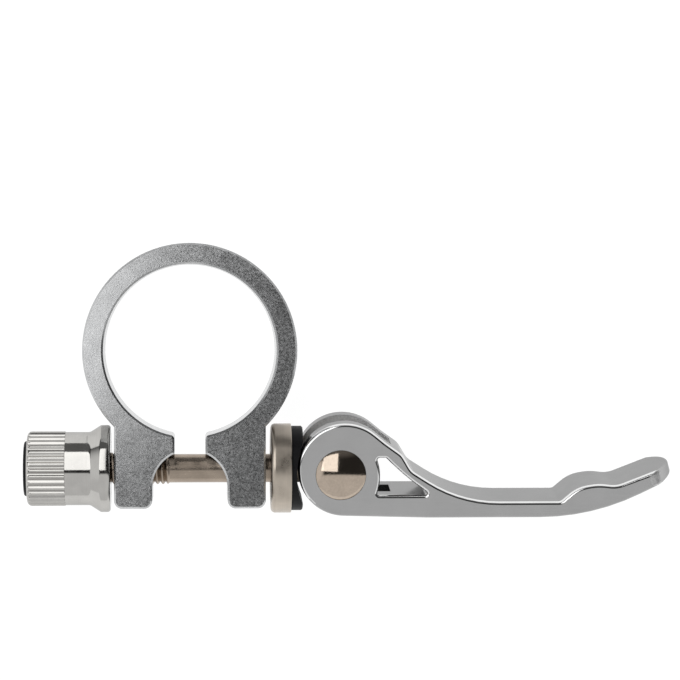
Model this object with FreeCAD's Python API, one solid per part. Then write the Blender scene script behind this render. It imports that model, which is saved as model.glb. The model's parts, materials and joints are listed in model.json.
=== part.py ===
import FreeCAD, Part
import math
import os

from FreeCAD import Placement, Rotation, Vector

# Quick-release seatpost clamp, in millimetres and degrees.
# The bore runs along Z with its middle at the origin. The skewer runs along X, with the lever at +X,
# and the clamp ears point towards -Y. The lever is open, in line with the skewer.

# Collar
bore_diameter = 31.8
collar_wall = 3.8
collar_height = 15.0
slit_width = 5.7
slit_lip_radius = 0.8
ear_span = 27.8            # across the outer faces of the two ears
ear_foot_width = 7.0       # each ear below the arch
ear_corner_radius = 1.5
skewer_below_ring = 2.3    # outer wall of the ring to the skewer's axis
ear_below_skewer = 7.0     # skewer's axis to the ends of the ears
arch_below_skewer = 3.2    # skewer's axis to the centre of the arch between the ears
collar_edge_break = 0.35

# Skewer rod
thread_diameter = 5.9
shank_diameter = 5.3
nut_thread_length = 26.0
barrel_thread_length = 10.0
rod_past_barrel_axis = 3.6
rod_end_chamfer = 0.6

# Thumb nut
nut_length = 15.4
nut_diameter = 13.8
band_diameter = 13.6
flange_diameter = 16.2
flange_rim = 1.8
flange_cone = 2.0
flange_edge_chamfer = 0.4
cone_foot_chamfer = 0.4
nut_shoulder_chamfer = 0.6
knurl_length = 7.0
knurl_ribs = 36
knurl_groove_width = 0.8
knurl_groove_depth = 0.32

# Nylon lock ring in the nut's outer end
lock_ring_diameter = 10.2
lock_ring_depth = 2.4
lock_ring_crown = 0.6
lock_ring_edge_chamfer = 0.3

# Cup washer and the pad that it holds
washer_diameter = 16.6
washer_length = 3.75
washer_wall = 0.4
washer_floor = 0.9
washer_corner_chamfer = 0.5
pad_proud = 2.12           # pad past the cup's rim
pad_edge_chamfer = 0.25
saddle_depth = 1.21
saddle_radius = 15.0

# Barrel pin
barrel_diameter = 9.2
barrel_dome_height = 1.8

# Cam lever, measured from the barrel's axis
lever_reach = 62.0
lever_width = 14.6
lever_edge_chamfer = 0.4
fork_slot_width = 6.5
fork_slot_reach = 9.45
cam_radius = 8.62
cam_offset_along = 0.74
cam_offset_across = 0.87
shoulder_angle = 39.3      # turn of the cam's arc past its top
shoulder_length = 2.55
shoulder_blend_radius = 1.5
brow_length = 3.13
brow_drop = 2.26
brow_radius = 3.5
neck_length = 1.76
neck_drop = 3.0
neck_radius = 3.2
heel_fall = 1.5            # slope of the underside below the cam
heel_length = 15.4
heel_radius = 60.0
arm_thickness = 2.95
arm_sweep_length = 9.16
arm_sweep_radius = 24.5
hump_to_tip = 14.35        # crest of the finger hump to the tip
hump_length = 6.9
hump_height = 3.3
hump_foot_radius = 1.2
hump_knee_length = 3.1     # foot of the hump to the end of its steep face
hump_knee_height = 2.65
hump_knee_radius = 6.8
hump_radius = 9.0
dip_length = 3.5
dip_drop = 0.4
dip_radius = 5.0
underside_sweep_length = 15.25
underside_sweep_radius = 42.0
tip_rise = 7.55            # flat underside to the lower edge of the tip
tip_thickness = 2.35
tip_lean = 0.65            # how far the tip's upper edge falls back
tip_end_radius = 10.0      # rounding of the tip, seen square to the finger face
tip_corner_radius = 1.5

# Window through the lever's neck
window_wall = 2.0          # between the barrel's hole and the window
window_bulge = 0.67        # of the window's back wall
window_slope_bulge = 0.33  # of the wall under the brow
window_floor = 4.3         # between the window and the underside
window_length = 10.1
window_height = 6.93
window_top_length = 1.65
window_corner_radius = 0.4
window_edge_chamfer = 0.2

# Clearances and the slack of the open clamp
rod_hole_clearance = 0.25
thread_clearance = 0.05
barrel_clearance = 0.05
pad_clearance = 0.05
lock_ring_clearance = 0.02
cam_clearance = 0.2
nut_gap = 0.76             # ear to nut while the lever is open
washer_gap = 1.07          # ear to cup washer while the lever is open

# Angle to which the lever has swivelled on the skewer
lever_swivel = 7.5

# Places worked out from the sizes above
ring_radius = bore_diameter / 2 + collar_wall
skewer_y = -(ring_radius + skewer_below_ring)
ear_end_y = skewer_y - ear_below_skewer
ear_face_x = ear_span / 2
nut_face_x = -(ear_face_x + nut_gap)
nut_end_x = nut_face_x - nut_length
washer_face_x = ear_face_x + washer_gap
washer_rim_x = washer_face_x + washer_length
pad_seat_x = washer_face_x + washer_floor
pad_face_x = washer_rim_x + pad_proud
saddle_x = pad_face_x - saddle_depth
barrel_x = saddle_x + cam_clearance + cam_radius - cam_offset_along
heel_slope = math.radians(heel_fall)
underside_y = cam_offset_across - cam_radius * math.cos(heel_slope) - heel_length * math.sin(heel_slope)
thread_radius = thread_diameter / 2
rod_hole_radius = thread_radius + rod_hole_clearance

X_AXIS = Vector(1, 0, 0)
Y_AXIS = Vector(0, 1, 0)
Z_AXIS = Vector(0, 0, 1)
OVERSIZE = 2.0             # how far a cutting tool stands past what it cuts
SAME_PLACE = 1e-5          # points nearer than this are one point


def rounded_path(points):
    """Edges from the first point to the last, with each corner (x, y, radius) between them rounded."""
    edges = []
    reached = Vector(*points[0], 0)
    for before, corner, after in zip(points, points[1:], points[2:]):
        tip = Vector(corner[0], corner[1], 0)
        back = (Vector(before[0], before[1], 0) - tip).normalize()
        ahead = (Vector(after[0], after[1], 0) - tip).normalize()
        radius = corner[2] if len(corner) > 2 else 0
        if radius == 0:
            edges.append(Part.LineSegment(reached, tip).toShape())
            reached = tip
            continue
        half_angle = back.getAngle(ahead) / 2
        setback = radius / math.tan(half_angle)
        inward = (back + ahead).normalize()
        start = tip + back * setback
        middle = tip + inward * (radius / math.sin(half_angle) - radius)
        end = tip + ahead * setback
        edges.append(Part.LineSegment(reached, start).toShape())
        edges.append(Part.Arc(start, middle, end).toShape())
        reached = end
    edges.append(Part.LineSegment(reached, Vector(*points[-1][:2], 0)).toShape())
    return edges


def turned(points):
    """Solid of revolution about the skewer's axis, from (x, radius) or (x, radius, chamfer) corners."""
    outline = []
    for before, corner, after in zip(points[-1:] + points, points, points[1:] + points[:1]):
        tip = Vector(corner[0], corner[1], 0)
        if len(corner) == 2:
            outline.append(tip)
            continue
        for neighbour in (before, after):
            towards = (Vector(neighbour[0], neighbour[1], 0) - tip).normalize()
            outline.append(tip + towards * corner[2])
    profile = Part.Face(Part.makePolygon(outline + outline[:1]))
    solid = profile.revolve(Vector(0, 0, 0), X_AXIS, 360)
    solid.translate(Vector(0, skewer_y, 0))
    return solid


def on_barrel(shape):
    """Place a shape made about the barrel's axis on the swivelled end of the skewer."""
    shape.Placement = Placement(Vector(barrel_x, skewer_y, 0), Rotation(X_AXIS, lever_swivel))
    return shape


def box_between(x_range, y_range, z_range):
    """Box from pairs of limits."""
    size = [high - low for low, high in (x_range, y_range, z_range)]
    return Part.makeBox(*size, Vector(x_range[0], y_range[0], z_range[0]))


def upright_edges(shape, places):
    """Edges along Z that stand at the given (x, y) places."""
    found = []
    for edge in shape.Edges:
        if len(edge.Vertexes) != 2:
            continue
        first, last = (vertex.Point for vertex in edge.Vertexes)
        if math.hypot(first.x - last.x, first.y - last.y) > SAME_PLACE:
            continue
        if any(math.hypot(first.x - x, first.y - y) < SAME_PLACE for x, y in places):
            found.append(edge)
    return found


def edges_at_height(shape, heights):
    """Edges that lie in one of the planes square to Z at the given heights."""
    found = []
    for edge in shape.Edges:
        box = edge.BoundBox
        if any(max(abs(box.ZMin - z), abs(box.ZMax - z)) < SAME_PLACE for z in heights):
            found.append(edge)
    return found


def inner_rims(shape, height):
    """Edges round the holes in the two flat faces that lie square to Z, at +height and -height."""
    rims = []
    for face in shape.Faces:
        box = face.BoundBox
        if box.ZLength < SAME_PLACE and abs(abs(box.ZMin) - height) < SAME_PLACE:
            for wire in face.Wires:
                if not wire.isSame(face.OuterWire):
                    rims.extend(wire.Edges)
    return rims


def collar():
    """Split ring with two clamp ears and an arch between them."""
    half_height = collar_height / 2
    base = Vector(0, 0, -half_height)
    tall = (-half_height - OVERSIZE, half_height + OVERSIZE)
    arch_radius = ear_face_x - ear_foot_width
    arch_y = skewer_y - arch_below_skewer
    below = ear_end_y - OVERSIZE

    disc = Part.makeCylinder(ring_radius, collar_height, base, Z_AXIS)
    ears = box_between((-ear_face_x, ear_face_x), (ear_end_y, 0), (-half_height, half_height))
    bore = Part.makeCylinder(bore_diameter / 2, collar_height, base, Z_AXIS)
    slit = box_between((-slit_width / 2, slit_width / 2), (below, 0), tall)
    arch = Part.makeCylinder(arch_radius, collar_height, Vector(0, arch_y, -half_height), Z_AXIS)
    foot_gap = box_between((-arch_radius, arch_radius), (below, arch_y), tall)
    body = disc.fuse(ears).removeSplitter().cut([bore, slit, arch, foot_gap])

    foot_corners = [(side * x, ear_end_y) for side in (-1, 1) for x in (arch_radius, ear_face_x)]
    body = body.makeFillet(ear_corner_radius, upright_edges(body, foot_corners))
    lip_y = -math.sqrt((bore_diameter / 2) ** 2 - (slit_width / 2) ** 2)
    lips = [(side * slit_width / 2, lip_y) for side in (-1, 1)]
    body = body.makeFillet(slit_lip_radius, upright_edges(body, lips))
    body = body.makeChamfer(collar_edge_break, edges_at_height(body, (-half_height, half_height)))

    hole_start = Vector(-ear_face_x - OVERSIZE, skewer_y, 0)
    return body.cut(Part.makeCylinder(rod_hole_radius, ear_span + 2 * OVERSIZE, hole_start, X_AXIS))


def skewer_rod():
    """Rolled shank with a thread's outside diameter at both ends."""
    end_x = barrel_x + rod_past_barrel_axis
    shank_radius = shank_diameter / 2
    nut_thread_x = nut_end_x + nut_thread_length
    barrel_thread_x = end_x - barrel_thread_length
    runout = thread_radius - shank_radius
    return turned([
        (nut_end_x, 0),
        (nut_end_x, thread_radius, rod_end_chamfer),
        (nut_thread_x, thread_radius),
        (nut_thread_x + runout, shank_radius),
        (barrel_thread_x - runout, shank_radius),
        (barrel_thread_x, thread_radius),
        (end_x, thread_radius, rod_end_chamfer),
        (end_x, 0),
    ])


def thumb_nut():
    """Round nut with a straight knurl, a plain band and a flared flange."""
    bore_radius = thread_radius + thread_clearance
    seat_radius = lock_ring_diameter / 2 + lock_ring_clearance
    band_radius = band_diameter / 2
    crest_radius = nut_diameter / 2
    rim_x = nut_face_x - flange_rim
    cone_x = rim_x - flange_cone
    knurl_x = nut_end_x + knurl_length
    seat_x = nut_end_x + lock_ring_depth
    body = turned([
        (nut_face_x, bore_radius),
        (nut_face_x, flange_diameter / 2, flange_edge_chamfer),
        (rim_x, flange_diameter / 2, flange_edge_chamfer),
        (cone_x, band_radius, cone_foot_chamfer),
        (knurl_x, band_radius),
        (knurl_x, crest_radius),
        (nut_end_x, crest_radius, nut_shoulder_chamfer),
        (nut_end_x, seat_radius),
        (seat_x, seat_radius),
        (seat_x, bore_radius),
    ])
    root_radius = crest_radius - knurl_groove_depth
    cutter_radius = crest_radius + knurl_groove_depth
    cutter_x = nut_end_x - OVERSIZE
    groove = Part.Face(Part.makePolygon([
        Vector(cutter_x, root_radius, 0),
        Vector(cutter_x, cutter_radius, knurl_groove_width),
        Vector(cutter_x, cutter_radius, -knurl_groove_width),
        Vector(cutter_x, root_radius, 0),
    ])).extrude(X_AXIS * (knurl_length + OVERSIZE))
    grooves = []
    for index in range(knurl_ribs):
        cutter = groove.copy()
        cutter.rotate(Vector(0, 0, 0), X_AXIS, 360 * index / knurl_ribs)
        cutter.translate(Vector(0, skewer_y, 0))
        grooves.append(cutter)
    return body.cut(grooves)


def nut_lock_ring():
    """Nylon ring seated in the nut's outer end, standing a little proud."""
    inner_radius = thread_radius + thread_clearance
    outer_radius = lock_ring_diameter / 2
    seat_x = nut_end_x + lock_ring_depth
    crown_x = nut_end_x - lock_ring_crown
    return turned([
        (seat_x, inner_radius),
        (seat_x, outer_radius),
        (crown_x, outer_radius, lock_ring_edge_chamfer),
        (crown_x, inner_radius),
    ])


def cup_washer():
    """Shallow cup with a rounded back edge and a hole for the rod."""
    outer_radius = washer_diameter / 2
    inner_radius = outer_radius - washer_wall
    return turned([
        (washer_face_x, rod_hole_radius),
        (washer_face_x, outer_radius, washer_corner_chamfer),
        (washer_rim_x, outer_radius),
        (washer_rim_x, inner_radius),
        (pad_seat_x, inner_radius),
        (pad_seat_x, rod_hole_radius),
    ])


def cam_pad():
    """Plastic disc seated in the cup, with a saddle along the barrel's axis for the cam."""
    pad_radius = washer_diameter / 2 - washer_wall - pad_clearance
    disc = turned([
        (pad_seat_x, rod_hole_radius),
        (pad_seat_x, pad_radius),
        (pad_face_x, pad_radius, pad_edge_chamfer),
        (pad_face_x, rod_hole_radius),
    ])
    length = washer_diameter + 2 * OVERSIZE
    saddle_axis = Vector(saddle_x + saddle_radius - barrel_x, 0, -length / 2)
    return disc.cut(on_barrel(Part.makeCylinder(saddle_radius, length, saddle_axis, Z_AXIS)))


def barrel_pin():
    """Cross barrel with domed ends and a hole for the rod."""
    radius = barrel_diameter / 2
    flank = lever_width / 2
    crown = flank + barrel_dome_height
    dome_radius = (radius ** 2 + barrel_dome_height ** 2) / (2 * barrel_dome_height)
    ball = Part.makeSphere(dome_radius, Vector(0, 0, crown - dome_radius), X_AXIS)
    around = (-dome_radius, dome_radius)
    dome = ball.common(box_between(around, around, (flank, crown + OVERSIZE)))
    far_dome = dome.mirror(Vector(0, 0, 0), Z_AXIS)
    barrel = Part.makeCylinder(radius, lever_width, Vector(0, 0, -flank), Z_AXIS)
    barrel = barrel.fuse([dome, far_dome]).removeSplitter()
    hole_start = Vector(-barrel_diameter, 0, 0)
    hole = Part.makeCylinder(thread_radius + thread_clearance, 2 * barrel_diameter, hole_start, X_AXIS)
    return on_barrel(barrel.cut(hole))


def lever_outline():
    """Side view of the lever, run on past its tip: cam, brow, thin arm and wavy finger end."""
    centre = Vector(cam_offset_along, cam_offset_across, 0)
    slope = math.radians(shoulder_angle)
    arm_top = underside_y + arm_thickness
    foot = centre - Vector(math.sin(heel_slope), math.cos(heel_slope), 0) * cam_radius
    heel = foot + Vector(math.cos(heel_slope), -math.sin(heel_slope), 0) * heel_length
    shoulder = centre + Vector(math.sin(slope), math.cos(slope), 0) * cam_radius
    saddle = shoulder + Vector(math.cos(slope), -math.sin(slope), 0) * shoulder_length
    brow = saddle + Vector(brow_length, -brow_drop, 0)
    neck = brow + Vector(neck_length, -neck_drop, 0)
    sweep = Vector(neck.x + arm_sweep_length, arm_top, 0)
    crest = Vector(lever_reach - hump_to_tip, arm_top + hump_height, 0)
    hump_foot = Vector(crest.x - hump_length, arm_top, 0)
    knee = hump_foot + Vector(hump_knee_length, hump_knee_height, 0)
    dip = crest + Vector(dip_length, -dip_drop, 0)
    tip_low = Vector(lever_reach, underside_y + tip_rise, 0)
    tip_high = tip_low + Vector(-tip_lean, tip_thickness, 0)
    bend = Vector(lever_reach - underside_sweep_length, underside_y, 0)
    past_high = tip_high + (tip_high - dip).normalize() * OVERSIZE
    past_low = tip_low + (tip_low - bend).normalize() * OVERSIZE
    corners = [
        (shoulder.x, shoulder.y),
        (saddle.x, saddle.y, shoulder_blend_radius),
        (brow.x, brow.y, brow_radius),
        (neck.x, neck.y, neck_radius),
        (sweep.x, sweep.y, arm_sweep_radius),
        (hump_foot.x, hump_foot.y, hump_foot_radius),
        (knee.x, knee.y, hump_knee_radius),
        (crest.x, crest.y, hump_radius),
        (dip.x, dip.y, dip_radius),
        (past_high.x, past_high.y),
        (past_low.x, past_low.y),
        (bend.x, bend.y, underside_sweep_radius),
        (heel.x, heel.y, heel_radius),
        (foot.x, foot.y),
    ]
    far_side = centre - Vector(cam_radius, 0, 0)
    cam = Part.Arc(foot, far_side, shoulder).toShape()
    return Part.Wire(rounded_path(corners) + [cam])


def lever_window():
    """Cut through the neck with a blunt top, whose back wall and upper wall bulge into it."""
    depth = lever_width + 2 * OVERSIZE
    base = -depth / 2
    back_x = barrel_diameter / 2 + barrel_clearance + window_wall
    floor_y = underside_y + window_floor
    low = Vector(back_x, floor_y, base)
    high = Vector(back_x, floor_y + window_height, base)
    brow = Vector(back_x + window_top_length, floor_y + window_height, base)
    toe = Vector(back_x + window_length, floor_y, base)
    bulge = Vector(back_x + window_bulge, floor_y + window_height / 2, base)
    slope = (toe - brow).normalize()
    slope_bulge = (brow + toe) * 0.5 + Vector(slope.y, -slope.x, 0) * window_slope_bulge
    outline = Part.Wire([
        Part.Arc(low, bulge, high).toShape(),
        Part.LineSegment(high, brow).toShape(),
        Part.Arc(brow, slope_bulge, toe).toShape(),
        Part.LineSegment(toe, low).toShape(),
    ])
    prism = Part.Face(outline).extrude(Vector(0, 0, depth))
    corners = [low[:2], high[:2], brow[:2], toe[:2]]
    return prism.makeFillet(window_corner_radius, upright_edges(prism, corners))


def lever_tip_cut(lean):
    """Block past the lever's tip with a round hollow, which leaves the tip's end round and leaning back."""
    tall = 2 * lever_width
    block = box_between((-tip_end_radius, 2 * OVERSIZE), (-tall / 2, tall / 2), (-lever_width, lever_width))
    hollow_base = Vector(-tip_end_radius, -tall / 2, 0)
    cut = block.cut(Part.makeCylinder(tip_end_radius, tall, hollow_base, Y_AXIS))
    cut.Placement = Placement(Vector(lever_reach, underside_y + tip_rise, 0), lean)
    return cut


def cam_lever():
    """Fork lever whose round head is the cam."""
    half_width = lever_width / 2
    sides = (-half_width, half_width)
    blank = Part.Face(lever_outline()).extrude(Vector(0, 0, lever_width))
    blank.translate(Vector(0, 0, -half_width))
    lean = Rotation(Z_AXIS, math.degrees(math.atan2(tip_lean, tip_thickness)))
    blank = blank.cut(lever_tip_cut(lean))
    tip_corners = [
        edge for edge in edges_at_height(blank, sides)
        if edge.Curve.TypeId == "Part::GeomLine"
        and abs(edge.Curve.Direction.dot(lean.multVec(Y_AXIS))) > 1 - SAME_PLACE
    ]
    blank = blank.makeFillet(tip_corner_radius, tip_corners)
    blank = blank.makeChamfer(lever_edge_chamfer, edges_at_height(blank, sides))

    reach = cam_radius + lever_reach
    half_slot = fork_slot_width / 2
    slot = box_between((-reach, fork_slot_reach), (-reach, reach), (-half_slot, half_slot))
    hole_radius = barrel_diameter / 2 + barrel_clearance
    hole_base = Vector(0, 0, -half_width - OVERSIZE)
    hole = Part.makeCylinder(hole_radius, lever_width + 2 * OVERSIZE, hole_base, Z_AXIS)
    pierced = blank.cut([lever_window(), hole])
    pierced = pierced.makeChamfer(window_edge_chamfer, inner_rims(pierced, half_width))
    return on_barrel(pierced.cut(slot))


os.makedirs("parts", exist_ok=True)
for piece in (collar, skewer_rod, thumb_nut, nut_lock_ring, cup_washer, cam_pad, barrel_pin, cam_lever):
    (solid,) = piece().Solids
    solid.exportStep(f"parts/{piece.__name__}.step")
    print(piece.__name__, round(solid.Volume, 2), solid.isValid())
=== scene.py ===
import json
import math

import bmesh
import bpy
from bpy.props import FloatProperty, FloatVectorProperty, IntProperty, PointerProperty
from bpy.types import Operator, Panel, PropertyGroup
from mathutils import Matrix, Vector


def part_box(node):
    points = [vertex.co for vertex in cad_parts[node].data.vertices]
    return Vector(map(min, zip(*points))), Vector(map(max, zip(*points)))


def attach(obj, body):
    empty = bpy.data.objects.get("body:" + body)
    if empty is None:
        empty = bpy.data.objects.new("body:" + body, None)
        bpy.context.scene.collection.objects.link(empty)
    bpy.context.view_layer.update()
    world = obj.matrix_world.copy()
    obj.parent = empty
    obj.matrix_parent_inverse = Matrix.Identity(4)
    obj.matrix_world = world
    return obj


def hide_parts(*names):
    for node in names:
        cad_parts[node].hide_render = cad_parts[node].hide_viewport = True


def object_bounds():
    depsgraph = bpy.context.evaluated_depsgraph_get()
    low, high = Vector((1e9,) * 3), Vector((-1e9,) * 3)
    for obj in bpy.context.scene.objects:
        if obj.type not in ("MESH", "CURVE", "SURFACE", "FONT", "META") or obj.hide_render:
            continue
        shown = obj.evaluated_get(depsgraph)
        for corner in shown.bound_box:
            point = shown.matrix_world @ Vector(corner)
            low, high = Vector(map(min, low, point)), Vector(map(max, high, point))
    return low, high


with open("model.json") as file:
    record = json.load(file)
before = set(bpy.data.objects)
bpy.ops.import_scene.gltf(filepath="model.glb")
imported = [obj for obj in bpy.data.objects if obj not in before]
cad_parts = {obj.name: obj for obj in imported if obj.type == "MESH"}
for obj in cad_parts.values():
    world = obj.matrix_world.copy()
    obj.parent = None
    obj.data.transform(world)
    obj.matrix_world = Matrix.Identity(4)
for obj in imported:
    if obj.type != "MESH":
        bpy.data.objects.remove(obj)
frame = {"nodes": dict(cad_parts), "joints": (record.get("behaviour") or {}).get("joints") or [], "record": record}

bl_info = {
    "name": "Quick-Release Seatpost Clamp",
    "version": (1, 0, 0),
    "blender": (4, 5, 0),
    "location": "3D View > Sidebar > Seat Clamp",
    "description": "Turned pieces, cam lever, metal finishes and a studio stage for a seatpost clamp",
    "category": "Object",
}

# Places and sizes that the frame gives, in metres
MM = 0.001
CAD_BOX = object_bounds()
JOINTS = {joint["name"]: joint for joint in frame["joints"]}
NODE_BODIES = {
    node: body
    for body, nodes in frame["record"]["behaviour"]["bodies"].items()
    for node in nodes
}
ROD_LOW, ROD_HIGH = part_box("skewer_rod")
NUT_LOW, NUT_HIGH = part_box("thumb_nut")
RING_LOW, RING_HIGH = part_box("nut_lock_ring")
WASHER_LOW, WASHER_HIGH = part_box("cup_washer")
BARREL = Vector(JOINTS["lever_cam"]["pos_m"])
BARREL_AXIS = Vector(JOINTS["lever_cam"]["axis"])
SKEWER_Y = BARREL.y
LEVER_SWIVEL = math.atan2(-BARREL_AXIS.y, BARREL_AXIS.z)
LEVER_FRAME = Matrix.Translation(BARREL) @ Matrix.Rotation(LEVER_SWIVEL, 4, "X")

# How finely curves are divided
ARC_STEP = math.radians(5)
TURNED_STEPS = 144
HOLE_STEPS = 72
THREAD_STEPS = 32
RIB_STEPS = 10
RIM_STEPS = 5
LEVEL_STEPS = 10

# Limits that tell points, edges and faces apart
JOIN_DISTANCE = 0.002 * MM
SMOOTH_ANGLE = math.radians(35)
FLAT_FACE = 0.9999
LOOKS_DOWN = -0.2
TIP_ZONE = 2.5 * MM

# Materials of the lever's faces, after the satin that most of them have; the polished rims that look up get a
# lighter colour, a painted highlight
# The last of these materials is painted shade: a near-black colour for the foot of the slot, which lies in shadow
CAST, RIM_HIGHLIGHT, SLOT_SHADE = 1, 2, 3

# Walls of the room: their axis, where along it they begin and are at their full glow, and their setting
WALLS = (("Y", -0.15, -0.22, "front"), ("X", -0.75, -0.9, "side"), ("Y", 0.5, 0.9, "back"))
WHITE = (1.0, 1.0, 1.0, 1.0)


def length(label, description, default):
    """Length in metres that a user may change."""
    return FloatProperty(name=label, description=description, default=default, min=0.0, precision=5,
                         unit="LENGTH")


def point(label, description, default):
    """Point in metres."""
    return FloatVectorProperty(name=label, description=description, default=default, size=3, unit="LENGTH")


def slope_angle(label, description, degrees):
    """Angle, given in degrees and kept in radians."""
    return FloatProperty(name=label, description=description, default=math.radians(degrees),
                         subtype="ANGLE")


def share(label, description, default):
    """Plain number from zero to one."""
    return FloatProperty(name=label, description=description, default=default, min=0.0, max=1.0,
                         subtype="FACTOR")


def light_level(label, description, default):
    """Strength of a lamp or of a glowing surface."""
    return FloatProperty(name=label, description=description, default=default, min=0.0)


def colour(label, description, default):
    """Linear colour."""
    return FloatVectorProperty(name=label, description=description, default=default, size=3, min=0.0,
                               max=1.0, subtype="COLOR")


class SkewerSizes(PropertyGroup):
    """Sizes of the skewer rod."""
    diameter: length("Thread diameter", "Outside diameter of the thread", ROD_HIGH.z - ROD_LOW.z)
    shank: length("Shank diameter", "Diameter of the plain shank", 5.3 * MM)
    pitch: length("Pitch", "Distance from one thread crest to the next", 1.0 * MM)
    thread_depth: length("Thread depth", "Crest to root of the thread", 0.5 * MM)
    nut_thread: length("Nut thread", "Length of the thread at the nut", 26.0 * MM)
    barrel_thread: length("Barrel thread", "Length of the thread at the barrel", 10.0 * MM)
    chamfer: length("End chamfer", "Chamfer at both ends", 0.6 * MM)
    runout: length("Run-out", "Length over which the thread fades into the shank", 0.3 * MM)


class NutSizes(PropertyGroup):
    """Sizes of the thumb nut and its nylon ring."""
    crest: length("Crest diameter", "Diameter over the ribs", 13.8 * MM)
    band: length("Band diameter", "Diameter of the plain band", 13.6 * MM)
    bore: length("Bore diameter", "Diameter of the threaded hole", 6.0 * MM)
    seat: length("Seat diameter", "Diameter of the seat of the nylon ring", 10.24 * MM)
    flange_rim: length("Flange rim", "Width of the flange's rim", 1.8 * MM)
    flange_cone: length("Flange cone", "Width of the cone between band and rim", 2.0 * MM)
    flange_round: length("Flange rounding", "Rounding of the flange's edges", 0.6 * MM)
    cone_round: length("Cone rounding", "Rounding at the foot of the cone", 1.2 * MM)
    shoulder: length("Shoulder rounding", "Rounding of the nut's outer end", 0.9 * MM)
    knurl: length("Knurl length", "Length of the ribs", 7.0 * MM)
    groove_depth: length("Groove depth", "Depth of the grooves between ribs", 0.32 * MM)
    groove_share: share("Groove share", "Share of each rib's pitch that the groove takes", 0.66)
    ribs: IntProperty(name="Ribs", description="Ribs round the nut", default=36, min=3)
    ring_round: length("Ring rounding", "Rounding of the nylon ring's edge", 0.4 * MM)


class WasherSizes(PropertyGroup):
    """Sizes of the cup washer."""
    hole: length("Hole diameter", "Diameter of the hole for the skewer", 6.4 * MM)
    wall: length("Wall", "Thickness of the cup's wall", 0.4 * MM)
    floor: length("Floor", "Thickness of the cup's floor", 0.9 * MM)
    corner: length("Corner rounding", "Rounding of the cup's back edge", 0.8 * MM)
    lip: length("Lip rounding", "Rounding of the cup's rim", 0.12 * MM)


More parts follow.
